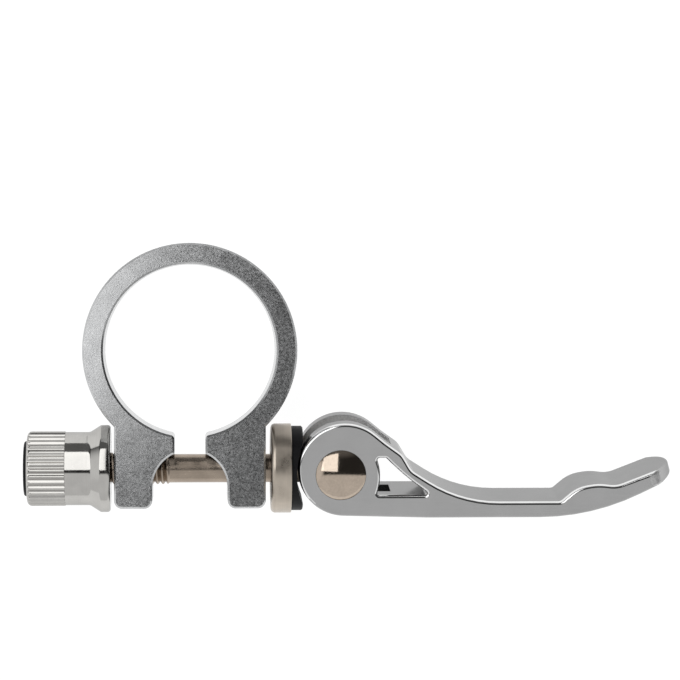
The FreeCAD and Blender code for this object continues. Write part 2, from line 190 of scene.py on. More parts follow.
class LeverSizes(PropertyGroup):
    """Sizes of the cam lever, measured from the barrel's axis."""
    reach: length("Reach", "Barrel's axis to the tip", 62.0 * MM)
    width: length("Width", "Across the two fork cheeks", 14.6 * MM)
    edge: length("Edge rounding", "How far the rounded edges reach into the lever's sides", 0.5 * MM)
    edge_depth: length("Edge depth", "How far the rounded edges reach across the lever", 0.9 * MM)
    barrel_hole: length("Barrel hole", "Diameter of the hole for the barrel", 9.3 * MM)
    slot_width: length("Slot width", "Gap between the fork cheeks", 6.5 * MM)
    slot_reach: length("Slot reach", "Barrel's axis to the end of the slot", 9.45 * MM)
    cam: length("Cam radius", "Radius of the cam", 8.62 * MM)
    cam_along: length("Cam offset along", "Cam's centre past the barrel's axis", 0.74 * MM)
    cam_across: length("Cam offset across", "Cam's centre above the barrel's axis", 0.87 * MM)
    shoulder_angle: slope_angle("Shoulder angle", "Turn of the cam's arc past its top", 39.3)
    shoulder: length("Shoulder", "Straight run below the cam's arc", 2.55 * MM)
    shoulder_round: length("Shoulder rounding", "Rounding between shoulder and brow", 1.5 * MM)
    brow: length("Brow", "Length of the brow over the window", 3.13 * MM)
    brow_drop: length("Brow drop", "Fall of the brow", 2.26 * MM)
    brow_round: length("Brow rounding", "Rounding between brow and neck", 3.5 * MM)
    neck: length("Neck", "Length of the steep neck", 1.76 * MM)
    neck_drop: length("Neck drop", "Fall of the neck", 3.0 * MM)
    neck_round: length("Neck rounding", "Rounding between neck and sweep", 3.2 * MM)
    heel_fall: slope_angle("Heel fall", "Slope of the underside below the cam", 1.5)
    heel: length("Heel", "Length of the sloping underside below the cam", 15.4 * MM)
    heel_round: length("Heel rounding", "Rounding between heel and flat underside", 60.0 * MM)
    arm: length("Arm thickness", "Thickness of the arm", 2.95 * MM)
    arm_sweep: length("Arm sweep", "Length over which the neck runs into the arm", 9.16 * MM)
    arm_round: length("Arm rounding", "Rounding between sweep and arm", 24.5 * MM)
    hump: length("Hump length", "Foot to crest of the finger hump", 6.9 * MM)
    hump_height: length("Hump height", "Height of the finger hump", 3.3 * MM)
    hump_foot_round: length("Hump foot rounding", "Rounding between arm and hump", 1.2 * MM)
    hump_round: length("Hump rounding", "Rounding of the hump's crest", 9.0 * MM)
    hump_to_tip: length("Hump to tip", "Crest of the finger hump to the tip", 14.35 * MM)
    knee: length("Knee", "Foot of the hump to the end of its steep face", 3.1 * MM)
    knee_height: length("Knee height", "Height of the hump's steep face", 2.65 * MM)
    knee_round: length("Knee rounding", "Rounding at the end of the steep face", 6.8 * MM)
    dip: length("Dip", "Crest of the hump to the dip past it", 3.5 * MM)
    dip_drop: length("Dip drop", "Fall from crest to dip", 0.4 * MM)
    dip_round: length("Dip rounding", "Rounding of the dip", 5.0 * MM)
    underside_sweep: length("Underside sweep", "Length of the underside's rise to the tip", 15.25 * MM)
    underside_round: length("Underside rounding", "Rounding between flat and rising underside", 42.0 * MM)
    tip_rise: length("Tip rise", "Flat underside to the lower edge of the tip", 7.55 * MM)
    tip: length("Tip thickness", "Height of the tip's end", 2.35 * MM)
    tip_lean: length("Tip lean", "How far the tip's upper edge falls back", 0.65 * MM)
    tip_upper_round: length("Tip upper rounding", "Rounding of the tip's upper edge", 0.6 * MM)
    tip_lower_round: length("Tip lower rounding", "Rounding of the tip's lower edge", 0.5 * MM)
    tip_end: length("Tip rounding", "Rounding of the tip, seen square to the finger face", 10.0 * MM)
    tip_corner: length("Tip corner", "Rounding of the tip's two corners", 1.5 * MM)
    window_back: length("Window back", "Barrel's axis to the window's back wall", 6.65 * MM)
    window_bulge: length("Window bulge", "Bend in the window's back wall", 1.0 * MM)
    window_back_round: length("Window back rounding", "Rounding of the back wall's bend", 9.0 * MM)
    window_brow_bulge: length("Window brow bulge", "Bend in the wall under the brow", 0.5 * MM)
    window_brow_round: length("Window brow rounding", "Rounding of that wall's bend", 43.0 * MM)
    window_floor: length("Window floor", "Material between window and underside", 4.3 * MM)
    window: length("Window length", "Length of the window", 10.1 * MM)
    window_height: length("Window height", "Height of the window", 6.93 * MM)
    window_top: length("Window top", "Length of the window's blunt top", 1.65 * MM)
    window_round: length("Window rounding", "Rounding of the window's corners", 0.4 * MM)


class Finishes(PropertyGroup):
    """Colours and roughness of the finishes."""
    collar: colour("Collar", "Blasted aluminium", (0.55, 0.555, 0.56))
    collar_rough: share("Collar roughness", "Roughness of the blasted aluminium", 0.24)
    lever: colour("Lever", "Satin aluminium", (0.43, 0.43, 0.43))
    lever_rough: share("Lever roughness", "Roughness of the satin aluminium", 0.16)
    # Rim: polished edges, whose colour is lighter than the satin's and paints the highlight of the edges that look
    # up
    rim: colour("Rim", "Polished edges of the lever", (0.8, 0.8, 0.8))
    rim_rough: share("Rim roughness", "Roughness of the polished edges", 0.10)
    # Painted shade: a near-black colour for the foot of the lever's slot, which lies in shadow
    slot_shade: colour("Grease", "Old grease at the foot of the slot", (0.012, 0.012, 0.012))
    slot_shade_rough: share("Grease roughness", "Roughness of the grease", 0.5)
    cast: colour("Cast", "Aluminium left as cast", (0.75, 0.75, 0.75))
    cast_rough: share("Cast roughness", "Roughness of the cast faces", 0.55)
    nut: colour("Nut", "Bright polished metal", (0.50, 0.49, 0.47))
    nut_rough: share("Nut roughness", "Roughness of the polished nut", 0.09)
    skewer: colour("Skewer", "Warm rolled steel", (0.36, 0.30, 0.245))
    skewer_rough: share("Skewer roughness", "Roughness of the skewer", 0.24)
    washer: colour("Washer", "Pale nickel plating", (0.50, 0.445, 0.38))
    washer_rough: share("Washer roughness", "Roughness of the plating", 0.33)
    barrel: colour("Barrel", "Polished nickel", (0.50, 0.42, 0.345))
    barrel_rough: share("Barrel roughness", "Roughness of the barrel", 0.10)
    plastic: colour("Plastic", "Black moulded plastic", (0.008, 0.008, 0.009))
    plastic_rough: share("Plastic roughness", "Roughness of the plastic", 0.5)


class StageSizes(PropertyGroup):
    """Camera, floor and light of the studio."""
    camera: point("Camera", "Place of the camera", (0.95 * MM, 9.26 * MM, 527.5 * MM))
    aim: point("Aim", "Point at the middle of the picture", (27.9 * MM, 1.8 * MM, 0.0))
    lens: FloatProperty(name="Lens", description="Focal length in millimetres", default=150.2)
    floor: length("Floor", "Side of the floor", 4.0)
    floor_colour: colour("Floor colour", "Colour of the lit floor", (0.9, 0.9, 0.9))
    floor_rough: share("Floor roughness", "Roughness of the lit floor", 0.9)
    floor_white: share("Floor white", "Share of plain white that is mixed with the lit floor", 0.85)
    floor_glow: light_level("Floor glow", "Brightness of that plain white", 1.15)
    key: light_level("Key", "Brightness of the softbox over the nut", 1.85)
    key_place: point("Key place", "Middle of the softbox, which looks straight down", (-0.273, 0.202, 0.3))
    key_along: length("Key along", "Side of the softbox along the skewer", 0.51)
    key_across: length("Key across", "Side of the softbox across the skewer", 0.46)
    front: light_level("Front", "Brightness of the wall on the side of the ears", 0.8)
    side: light_level("Side", "Brightness of the wall past the nut", 0.9)
    back: light_level("Back", "Brightness of the wall behind the ring", 0.15)
    room: light_level("Room", "Brightness of the dark rest of the room", 0.03)


class ClampSettings(PropertyGroup):
    """All settings of the clamp."""
    skewer: PointerProperty(type=SkewerSizes)
    nut: PointerProperty(type=NutSizes)
    washer: PointerProperty(type=WasherSizes)
    lever: PointerProperty(type=LeverSizes)
    finish: PointerProperty(type=Finishes)
    stage: PointerProperty(type=StageSizes)


# Outlines and turned forms

def arc(bm, start, centre, turn):
    """Chain of edges from a vertex round a centre in the XY plane; gives the last vertex."""
    steps = max(2, math.ceil(abs(turn) / ARC_STEP))
    made = bmesh.ops.spin(bm, geom=[start], cent=centre, axis=(0, 0, 1), angle=turn, steps=steps)
    return made["geom_last"][0]


def outline(bm, corners, closed):
    """Chain of edges through (x, y, rounding) corners in the XY plane; gives its two end vertices."""
    places = [Vector((corner[0], corner[1], 0.0)) for corner in corners]
    count = len(corners)
    first = last = None
    for index, (place, corner) in enumerate(zip(places, corners)):
        at_end = not closed and index in (0, count - 1)
        back = (places[index - 1] - place).normalized()
        ahead = (places[(index + 1) % count] - place).normalized()
        rounding = 0.0 if at_end else corner[2]
        half = back.angle(ahead) / 2
        vert = bm.verts.new(place + back * (rounding / math.tan(half)) if rounding else place)
        if last:
            bm.edges.new((last, vert))
        first = first or vert
        last = vert
        if rounding:
            centre = place + (back + ahead).normalized() * (rounding / math.sin(half))
            side = math.copysign(1.0, ahead.cross(back).z)
            last = arc(bm, vert, centre, side * (math.pi - 2 * half))
    if closed:
        bm.edges.new((last, first))
    return first, last


def smooth_faces(bm):
    """Shade every face smooth."""
    for face in bm.faces:
        face.smooth = True


def turned(bm, corners, steps=TURNED_STEPS):
    """Closed outline of (x, radius, rounding) corners, spun once round the skewer's axis."""
    outline(bm, [(x, SKEWER_Y + radius, rounding) for x, radius, rounding in corners], closed=True)
    profile = bm.verts[:] + bm.edges[:]
    bmesh.ops.spin(bm, geom=profile, cent=(0, SKEWER_Y, 0), axis=(1, 0, 0), angle=2 * math.pi,
                   steps=steps, use_merge=True)
    smooth_faces(bm)


def edges_on_plane(bm, x):
    """Open edges that lie in the plane square to the skewer at x."""
    return [
        edge for edge in bm.edges
        if len(edge.link_faces) < 2 and all(abs(vert.co.x - x) < JOIN_DISTANCE for vert in edge.verts)
    ]


def circle(bm, x, diameter):
    """Circle of edges about the skewer's axis."""
    place = Matrix.Translation((x, SKEWER_Y, 0)) @ Matrix.Rotation(math.pi / 2, 4, "Y")
    bmesh.ops.create_circle(bm, segments=2 * THREAD_STEPS, radius=diameter / 2, matrix=place)
    return edges_on_plane(bm, x)


def added_verts(bm, before):
    """Vertices of a mesh that weren't there before."""
    return [vert for vert in bm.verts if vert not in before]


def thread(bm, start, end, sizes):
    """Helical thread on the skewer's axis, cut off square at both ends."""
    turns = math.ceil((end - start) / sizes.pitch) + 2
    crest = SKEWER_Y + sizes.diameter / 2
    root = crest - sizes.thread_depth
    half_crest = sizes.pitch / 8
    lead_in = 1.5 * sizes.pitch
    x = start - lead_in
    middle = x + sizes.pitch / 2
    before = set(bm.verts)
    outline(bm, [
        (x, root, 0),
        (middle - half_crest, crest, 0),
        (middle + half_crest, crest, 0),
        (x + sizes.pitch, root, 0),
    ], closed=False)
    verts = added_verts(bm, before)
    edges = list({edge for vert in verts for edge in vert.link_edges})
    bmesh.ops.spin(bm, geom=verts + edges, cent=(0, SKEWER_Y, 0), axis=(1, 0, 0),
                   angle=2 * math.pi * turns, steps=THREAD_STEPS * turns,
                   dvec=(sizes.pitch / THREAD_STEPS, 0, 0))
    for plane, sign in ((start, -1), (end, 1)):
        bmesh.ops.remove_doubles(bm, verts=added_verts(bm, before), dist=JOIN_DISTANCE)
        coil = added_verts(bm, before)
        edges = list({edge for vert in coil for edge in vert.link_edges})
        faces = list({face for vert in coil for face in vert.link_faces})
        bmesh.ops.bisect_plane(bm, geom=coil + edges + faces, dist=JOIN_DISTANCE / 10,
                               plane_co=(plane, 0, 0), plane_no=(sign, 0, 0), clear_outer=True)


# Pieces

def place_piece(name, bm, node, *materials):
    """Make a mesh a piece that stands for a node of the frame and moves with its body."""
    bmesh.ops.remove_doubles(bm, verts=bm.verts[:], dist=JOIN_DISTANCE)
    bmesh.ops.recalc_face_normals(bm, faces=bm.faces[:])
    mesh = bpy.data.meshes.new(name)
    shading = [face.smooth for face in bm.faces]
    bm.to_mesh(mesh)
    bm.free()
    for material in materials:
        mesh.materials.append(material)
    mesh.set_sharp_from_angle(angle=SMOOTH_ANGLE)
    mesh.polygons.foreach_set("use_smooth", shading)
    piece = bpy.data.objects.new(name, mesh)
    bpy.context.scene.collection.objects.link(piece)
    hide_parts(node)
    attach(piece, NODE_BODIES[node])
    return piece


def weigh_normals(piece):
    """Let the flat faces of a turned piece lead its shading."""
    weighting = piece.modifiers.new("flat_faces", "WEIGHTED_NORMAL")
    weighting.keep_sharp = True


def finish_node(node, material):
    """Give a node of the frame its finish."""
    materials = frame["nodes"][node].data.materials
    materials.clear()
    materials.append(material)


def rod_mesh(sizes):
    """Skewer rod with a helical thread at both ends."""
    bm = bmesh.new()
    left, right = ROD_LOW.x, ROD_HIGH.x
    nut_thread_end = left + sizes.nut_thread
    barrel_thread_start = right - sizes.barrel_thread
    thread(bm, left + sizes.chamfer, nut_thread_end, sizes)
    thread(bm, barrel_thread_start, right - sizes.chamfer, sizes)
    end_diameter = sizes.diameter - 2 * sizes.chamfer
    caps = [circle(bm, left, end_diameter), circle(bm, right, end_diameter)]
    shank = [
        circle(bm, nut_thread_end + sizes.runout, sizes.shank),
        circle(bm, barrel_thread_start - sizes.runout, sizes.shank),
    ]
    bmesh.ops.bridge_loops(bm, edges=caps[0] + edges_on_plane(bm, left + sizes.chamfer))
    bmesh.ops.bridge_loops(bm, edges=edges_on_plane(bm, nut_thread_end) + shank[0])
    bmesh.ops.bridge_loops(bm, edges=shank[0] + shank[1])
    bmesh.ops.bridge_loops(bm, edges=shank[1] + edges_on_plane(bm, barrel_thread_start))
    bmesh.ops.bridge_loops(bm, edges=edges_on_plane(bm, right - sizes.chamfer) + caps[1])
    for cap in caps:
        bmesh.ops.edgeloop_fill(bm, edges=cap)
    smooth_faces(bm)
    return bm


def nut_mesh(sizes):
    """Thumb nut with a straight knurl, a plain band and a flared flange."""
    bm = bmesh.new()
    end, face = NUT_LOW.x, NUT_HIGH.x
    rim = face - sizes.flange_rim
    knurl_end = end + sizes.knurl
    seat_end = RING_HIGH.x
    flange = (NUT_HIGH.z - NUT_LOW.z) / 2
    crest = sizes.crest / 2
    runout = sizes.groove_depth / 4
    turned(bm, [
        (face, sizes.bore / 2, 0),
        (face, flange, sizes.flange_round),
        (rim, flange, sizes.flange_round),
        (rim - sizes.flange_cone, sizes.band / 2, sizes.cone_round),
        (knurl_end + runout, sizes.band / 2, 0),
        (knurl_end, crest, 0),
        (end, crest, sizes.shoulder),
        (end, sizes.seat / 2, 0),
        (seat_end, sizes.seat / 2, 0),
        (seat_end, sizes.bore / 2, 0),
    ], steps=sizes.ribs * RIB_STEPS)
    half_groove = sizes.groove_share / 2
    for vert in bm.verts:
        if vert.co.x > knurl_end + runout / 2:
            continue
        radius = math.hypot(vert.co.y - SKEWER_Y, vert.co.z)
        along_rib = math.atan2(vert.co.z, vert.co.y - SKEWER_Y) / (2 * math.pi) * sizes.ribs % 1.0
        groove = max(0.0, 1.0 - ((along_rib - 0.5) / half_groove) ** 2)
        wanted = min(radius, crest - sizes.groove_depth * groove)
        vert.co.y = SKEWER_Y + (vert.co.y - SKEWER_Y) * wanted / radius
        vert.co.z *= wanted / radius
    return bm


def lock_ring_mesh(sizes):
    """Nylon ring in the nut's outer end."""
    bm = bmesh.new()
    outer = (RING_HIGH.z - RING_LOW.z) / 2
    turned(bm, [
        (RING_HIGH.x, sizes.bore / 2, 0),
        (RING_HIGH.x, outer, 0),
        (RING_LOW.x, outer, sizes.ring_round),
        (RING_LOW.x, sizes.bore / 2, sizes.ring_round),
    ])
    return bm


def washer_mesh(sizes):
    """Cup washer with a rounded back edge and a thin rim."""
    bm = bmesh.new()
    back, rim = WASHER_LOW.x, WASHER_HIGH.x
    outer = (WASHER_HIGH.z - WASHER_LOW.z) / 2
    turned(bm, [
        (back, sizes.hole / 2, 0),
        (back, outer, sizes.corner),
        (rim, outer, sizes.lip),
        (rim, outer - sizes.wall, sizes.lip),
        (back + sizes.floor, outer - sizes.wall, 0),
        (back + sizes.floor, sizes.hole / 2, 0),
    ])
    return bm


# Cam lever

def lever_underside(sizes):
    """Height of the arm's flat underside."""
    fall = sizes.heel_fall
    return sizes.cam_across - sizes.cam * math.cos(fall) - sizes.heel * math.sin(fall)


def lever_side(bm, sizes):
    """Side view of the lever in the XY plane, from the cam to the wavy finger end, with hole and window."""
    centre = Vector((sizes.cam_along, sizes.cam_across, 0.0))
    slope = sizes.shoulder_angle
    fall = sizes.heel_fall
    underside = lever_underside(sizes)
    arm_top = underside + sizes.arm
    shoulder = centre + Vector((math.sin(slope), math.cos(slope), 0.0)) * sizes.cam
    saddle = shoulder + Vector((math.cos(slope), -math.sin(slope), 0.0)) * sizes.shoulder
    brow = saddle + Vector((sizes.brow, -sizes.brow_drop, 0.0))
    neck = brow + Vector((sizes.neck, -sizes.neck_drop, 0.0))
    foot = centre - Vector((math.sin(fall), math.cos(fall), 0.0)) * sizes.cam
    heel = foot + Vector((math.cos(fall), -math.sin(fall), 0.0)) * sizes.heel
    sweep_x = neck.x + sizes.arm_sweep
    crest_x = sizes.reach - sizes.hump_to_tip
    crest_y = arm_top + sizes.hump_height
    hump_x = crest_x - sizes.hump
    bend_x = sizes.reach - sizes.underside_sweep
    tip_y = underside + sizes.tip_rise
    first, last = outline(bm, [
        (shoulder.x, shoulder.y, 0),
        (saddle.x, saddle.y, sizes.shoulder_round),
        (brow.x, brow.y, sizes.brow_round),
        (neck.x, neck.y, sizes.neck_round),
        (sweep_x, arm_top, sizes.arm_round),
        (hump_x, arm_top, sizes.hump_foot_round),
        (hump_x + sizes.knee, arm_top + sizes.knee_height, sizes.knee_round),
        (crest_x, crest_y, sizes.hump_round),
        (crest_x + sizes.dip, crest_y - sizes.dip_drop, sizes.dip_round),
        (sizes.reach - sizes.tip_lean, tip_y + sizes.tip, sizes.tip_upper_round),
        (sizes.reach, tip_y, sizes.tip_lower_round),
        (bend_x, underside, sizes.underside_round),
        (heel.x, heel.y, sizes.heel_round),
        (foot.x, foot.y, 0),
    ], closed=False)
    end = arc(bm, last, centre, -(math.pi + slope - fall))
    bmesh.ops.pointmerge(bm, verts=[first, end], merge_co=first.co)

    bmesh.ops.create_circle(bm, cap_ends=True, segments=HOLE_STEPS, radius=sizes.barrel_hole / 2)
    low = Vector((sizes.window_back, underside + sizes.window_floor, 0.0))
    high = low + Vector((0.0, sizes.window_height, 0.0))
    top = high + Vector((sizes.window_top, 0.0, 0.0))
    toe = low + Vector((sizes.window, 0.0, 0.0))
    under_brow = (toe - top).normalized().cross(Vector((0, 0, 1)))
    back_bend = (low + high) / 2 + Vector((sizes.window_bulge, 0.0, 0.0))
    brow_bend = (top + toe) / 2 + under_brow * sizes.window_brow_bulge
    outline(bm, [
        (low.x, low.y, sizes.window_round),
        (toe.x, toe.y, sizes.window_round),
        (brow_bend.x, brow_bend.y, sizes.window_brow_round),
        (top.x, top.y, sizes.window_round),
        (high.x, high.y, sizes.window_round),
        (back_bend.x, back_bend.y, sizes.window_back_round),
    ], closed=True)
    bmesh.ops.triangle_fill(bm, edges=bm.edges[:], use_beauty=True, normal=(0, 0, 1))


def raise_faces(bm, faces, height):
    """Extrude a flat group of faces along Z; gives the moved copies."""
    edges = list({edge for face in faces for edge in face.edges})
    moved = bmesh.ops.extrude_face_region(bm, geom=faces + edges)["geom"]
    bmesh.ops.translate(bm, verts=[item for item in moved if isinstance(item, bmesh.types.BMVert)],
                        vec=(0, 0, height))
    return [item for item in moved if isinstance(item, bmesh.types.BMFace)]


def round_rim(bm, faces, reach, depth):
    """Round the edges of a flat group of faces that look along Z, holes too; gives the new rims."""
    rims = []
    for step in range(RIM_STEPS):
        start = math.pi / 2 * step / RIM_STEPS
        end = math.pi / 2 * (step + 1) / RIM_STEPS
        inward = reach * (math.cos(start) - math.cos(end))
        made = bmesh.ops.inset_region(bm, faces=faces, thickness=inward, use_boundary=True,
                                      use_even_offset=True)
        rims += made["faces"]
        verts = list({vert for face in faces for vert in face.verts})
        bmesh.ops.translate(bm, verts=verts, vec=(0, 0, depth * (math.sin(end) - math.sin(start))))
    return rims


def open_hole(bm):
    """Take out the round lids that the two sides of a cheek have over a hole, and wall the hole."""
    lids = [face for face in bm.faces if len(face.verts) == HOLE_STEPS]
    rings = [edge for lid in lids for edge in lid.edges]
    bmesh.ops.delete(bm, geom=lids, context="FACES_ONLY")
    bmesh.ops.bridge_loops(bm, edges=rings)


def tip_setback(distance, sizes):
    """How far the tip's round end falls back at a distance from the lever's middle."""
    end, corner = sizes.tip_end, sizes.tip_corner
    corner_across = sizes.width / 2 - corner
    if distance * (end - corner) <= corner_across * end:
        return end - math.sqrt(end ** 2 - distance ** 2)
    corner_along = math.sqrt((end - corner) ** 2 - corner_across ** 2)
    return end - corner_along - math.sqrt(max(0.0, corner ** 2 - (distance - corner_across) ** 2))


def mark_rims(rims, sizes):
    """Give the rims that look up, and those of the window, the polished finish, whose lighter colour paints their
    highlight, so the rims that look down keep the darker satin; leave the tip's as cast.
    """
    window_floor = lever_underside(sizes) + sizes.window_floor
    window_end = sizes.window_back + sizes.window + sizes.edge
    tip_x = sizes.reach - sizes.tip_lean - sizes.edge
    for face in rims:
        place = face.calc_center_median()
        outside = place.x > window_end or place.y < window_floor - sizes.edge
        if place.x > tip_x:
            face.material_index = CAST
        # Rims that look up and those of the window get the lighter polish colour, a painted highlight
        elif face.normal.y > LOOKS_DOWN or not outside:
            face.material_index = RIM_HIGHLIGHT


def fill_middle(bm, side, sizes):
    """Carry a cheek's inner side to the lever's middle past the slot, and mark the faces of the slot: cast above
    the window's floor, and a near-black painted shade below it, where the slot lies in shadow.
    """
    half_slot = sizes.slot_width / 2
    window_floor = lever_underside(sizes) + sizes.window_floor
    split = bmesh.ops.bisect_plane(bm, geom=side, plane_co=(sizes.slot_reach, 0, 0), plane_no=(1, 0, 0))
    split = bmesh.ops.bisect_plane(bm, geom=split["geom"], plane_co=(0, window_floor, 0),
                                   plane_no=(0, 1, 0))
    inner = [item for item in split["geom"] if isinstance(item, bmesh.types.BMFace)]
    middle = [face for face in inner if face.calc_center_median().x > sizes.slot_reach]
    for _ in range(LEVEL_STEPS):
        middle = raise_faces(bm, middle, -half_slot / LEVEL_STEPS)
    bmesh.ops.delete(bm, geom=middle, context="FACES")
    for face in bm.faces:
        place = face.calc_center_median()
        if place.z < half_slot + JOIN_DISTANCE and place.x < sizes.slot_reach + JOIN_DISTANCE:
            # Below the window's floor the slot lies in shadow, so its faces get the near-black painted shade
            face.material_index = SLOT_SHADE if place.y < window_floor else CAST


def round_tip(bm, sizes):
    """Set the tip's end back along the slopes of its two faces, so that it is round from above."""
    underside = lever_underside(sizes)
    tip_y = underside + sizes.tip_rise
    dip_x = sizes.reach - sizes.hump_to_tip + sizes.dip
    dip_y = underside + sizes.arm + sizes.hump_height - sizes.dip_drop
    high_slope = (tip_y + sizes.tip - dip_y) / (sizes.reach - sizes.tip_lean - dip_x)
    low_slope = sizes.tip_rise / sizes.underside_sweep
    for vert in bm.verts:
        if vert.co.x < sizes.reach - TIP_ZONE:
            continue
        setback = tip_setback(abs(vert.co.z), sizes)
        upward = (vert.co.y - tip_y) / sizes.tip
        vert.co.x -= setback
        vert.co.y -= setback * (low_slope + (high_slope - low_slope) * upward)


def lever_mesh(sizes):
    """Fork lever whose round head is the cam: one half is built from its side view and mirrored."""
    bm = bmesh.new()
    lever_side(bm, sizes)
    half_slot = sizes.slot_width / 2
    bmesh.ops.translate(bm, verts=bm.verts[:], vec=(0, 0, half_slot))
    side = bm.verts[:] + bm.edges[:] + bm.faces[:]
    cheek = sizes.width / 2 - half_slot - sizes.edge_depth
    top = bm.faces[:]
    for _ in range(LEVEL_STEPS):
        top = raise_faces(bm, top, cheek / LEVEL_STEPS)
    rims = round_rim(bm, top, sizes.edge, sizes.edge_depth)
    bmesh.ops.recalc_face_normals(bm, faces=bm.faces[:])
    mark_rims(rims, sizes)
    fill_middle(bm, side, sizes)
    open_hole(bm)
    half = bm.verts[:] + bm.edges[:] + bm.faces[:]
    bmesh.ops.mirror(bm, geom=half, merge_dist=JOIN_DISTANCE, axis="Z")
    round_tip(bm, sizes)
    bmesh.ops.recalc_face_normals(bm, faces=bm.faces[:])
    for face in bm.faces:
        face.smooth = abs(face.normal.z) < FLAT_FACE
    bmesh.ops.transform(bm, matrix=LEVER_FRAME, verts=bm.verts[:])
    return bm


# Surface effects shared by the finishes

def new_group(name, inputs, outputs):
    """Empty shader node group with named float sockets; gives its tree, input node and output node."""
    tree = bpy.data.node_groups.new(name, "ShaderNodeTree")
    for label, default in inputs:
        socket = tree.interface.new_socket(label, in_out="INPUT", socket_type="NodeSocketFloat")
        socket.default_value = default
    for label in outputs:
        tree.interface.new_socket(label, in_out="OUTPUT", socket_type="NodeSocketFloat")
    return tree, tree.nodes.new("NodeGroupInput"), tree.nodes.new("NodeGroupOutput")


def stretched_noise(tree, given, detail, low, high):
    """Noise at a group's scale, and a mask that stretches part of its range from zero to one."""
    place = tree.nodes.new("ShaderNodeTexCoord")
    noise = tree.nodes.new("ShaderNodeTexNoise")
    noise.inputs["Detail"].default_value = detail
    mask = tree.nodes.new("ShaderNodeMapRange")
    mask.inputs["From Min"].default_value = low
    mask.inputs["From Max"].default_value = high
    tree.links.new(place.outputs["Object"], noise.inputs["Vector"])
    tree.links.new(given.outputs["Scale"], noise.inputs["Scale"])
    tree.links.new(noise.outputs["Fac"], mask.inputs["Value"])
    return noise, mask


def grain_group():
    """Fine blasted grain: flecks for colour and roughness, and a height for bump."""
    tree, given, result = new_group("blasted_grain", [("Scale", 4000.0)], ["Fleck", "Height"])
    noise, mask = stretched_noise(tree, given, detail=2.0, low=0.3, high=0.7)
    noise.inputs["Roughness"].default_value = 0.65
    tree.links.new(mask.outputs["Result"], result.inputs["Fleck"])
    tree.links.new(noise.outputs["Fac"], result.inputs["Height"])
    return tree


def cloud_group():
    """Soft patches, as plating and handling leave them."""
    tree, given, result = new_group("soft_patches", [("Scale", 300.0)], ["Patch"])
    _, mask = stretched_noise(tree, given, detail=3.0, low=0.32, high=0.68)
    tree.links.new(mask.outputs["Result"], result.inputs["Patch"])
    return tree


def line_group():
    """Fine lines: scale along the skewer and scale across it set how they run."""
    tree, given, result = new_group("tool_lines", [("Along", 9000.0), ("Across", 60.0)], ["Line"])
    place = tree.nodes.new("ShaderNodeTexCoord")
    spread = tree.nodes.new("ShaderNodeCombineXYZ")
    scaled = tree.nodes.new("ShaderNodeVectorMath")
    scaled.operation = "MULTIPLY"
    noise = tree.nodes.new("ShaderNodeTexNoise")
    noise.inputs["Scale"].default_value = 1.0
    noise.inputs["Detail"].default_value = 2.0
    for socket, label in zip(("X", "Y", "Z"), ("Along", "Across", "Across")):
        tree.links.new(given.outputs[label], spread.inputs[socket])
    tree.links.new(place.outputs["Object"], scaled.inputs[0])
    tree.links.new(spread.outputs["Vector"], scaled.inputs[1])
    tree.links.new(scaled.outputs["Vector"], noise.inputs["Vector"])
    tree.links.new(noise.outputs["Fac"], result.inputs["Line"])
    return tree


EFFECTS = {"blasted_grain": grain_group, "soft_patches": cloud_group, "tool_lines": line_group}


class FinishTree:
    """Material with one Principled shader, and the steps by which effects reach it."""

    def __init__(self, name, metallic):
        self.material = bpy.data.materials.new(name)
        self.material.use_nodes = True
        self.tree = self.material.node_tree
        self.shader = self.tree.nodes["Principled BSDF"]
        self.shader.inputs["Metallic"].default_value = metallic

    def effect(self, name, **values):
        """Place a shared effect and set its inputs."""
        node = self.tree.nodes.new("ShaderNodeGroup")
        node.node_tree = bpy.data.node_groups.get(name) or EFFECTS[name]()
        for label, value in values.items():
            node.inputs[label].default_value = value
        return node

    def tint(self, mask, base, dark, light):
        """Base colour that runs from a darker to a lighter shade of one colour with a mask."""
        ramp = self.tree.nodes.new("ShaderNodeValToRGB")
        for element, gain in zip(ramp.color_ramp.elements, (dark, light)):
            element.color = (*(min(1.0, channel * gain) for channel in base), 1.0)
        self.tree.links.new(mask, ramp.inputs["Fac"])
        self.tree.links.new(ramp.outputs["Color"], self.shader.inputs["Base Color"])

    def roughen(self, mask, middle, below, above):
        """Roughness that runs with a mask from below a middle value to above it."""
        spread = self.tree.nodes.new("ShaderNodeMapRange")
        spread.inputs["To Min"].default_value = middle - below
        spread.inputs["To Max"].default_value = middle + above
        self.tree.links.new(mask, spread.inputs["Value"])
        self.tree.links.new(spread.outputs["Result"], self.shader.inputs["Roughness"])

    def bump(self, height, distance, strength):
        """Small relief, with its depth in metres."""
        relief = self.tree.nodes.new("ShaderNodeBump")
        relief.inputs["Distance"].default_value = distance
        relief.inputs["Strength"].default_value = strength
        self.tree.links.new(height, relief.inputs["Height"])
        self.tree.links.new(relief.outputs["Normal"], self.shader.inputs["Normal"])

    def average(self, first, second):
        """Mean of two masks."""
        mean = self.tree.nodes.new("ShaderNodeMix")
        mean.inputs["Factor"].default_value = 0.5
        self.tree.links.new(first, mean.inputs["A"])
        self.tree.links.new(second, mean.inputs["B"])
        return mean.outputs["Result"]


# Finishes

def blasted_aluminium(finish):
    """Collar: fine bright and dark grain on a satin ground."""
    made = FinishTree("blasted_aluminium", metallic=1.0)
    grain = made.effect("blasted_grain", Scale=3000.0)
    patch = made.effect("soft_patches", Scale=260.0)
    mask = made.average(grain.outputs["Fleck"], patch.outputs["Patch"])
    made.tint(mask, finish.collar, dark=0.82, light=1.18)
    made.roughen(grain.outputs["Fleck"], finish.collar_rough, below=0.06, above=0.06)
    made.bump(grain.outputs["Height"], distance=0.05 * MM, strength=0.15)
    return made.material


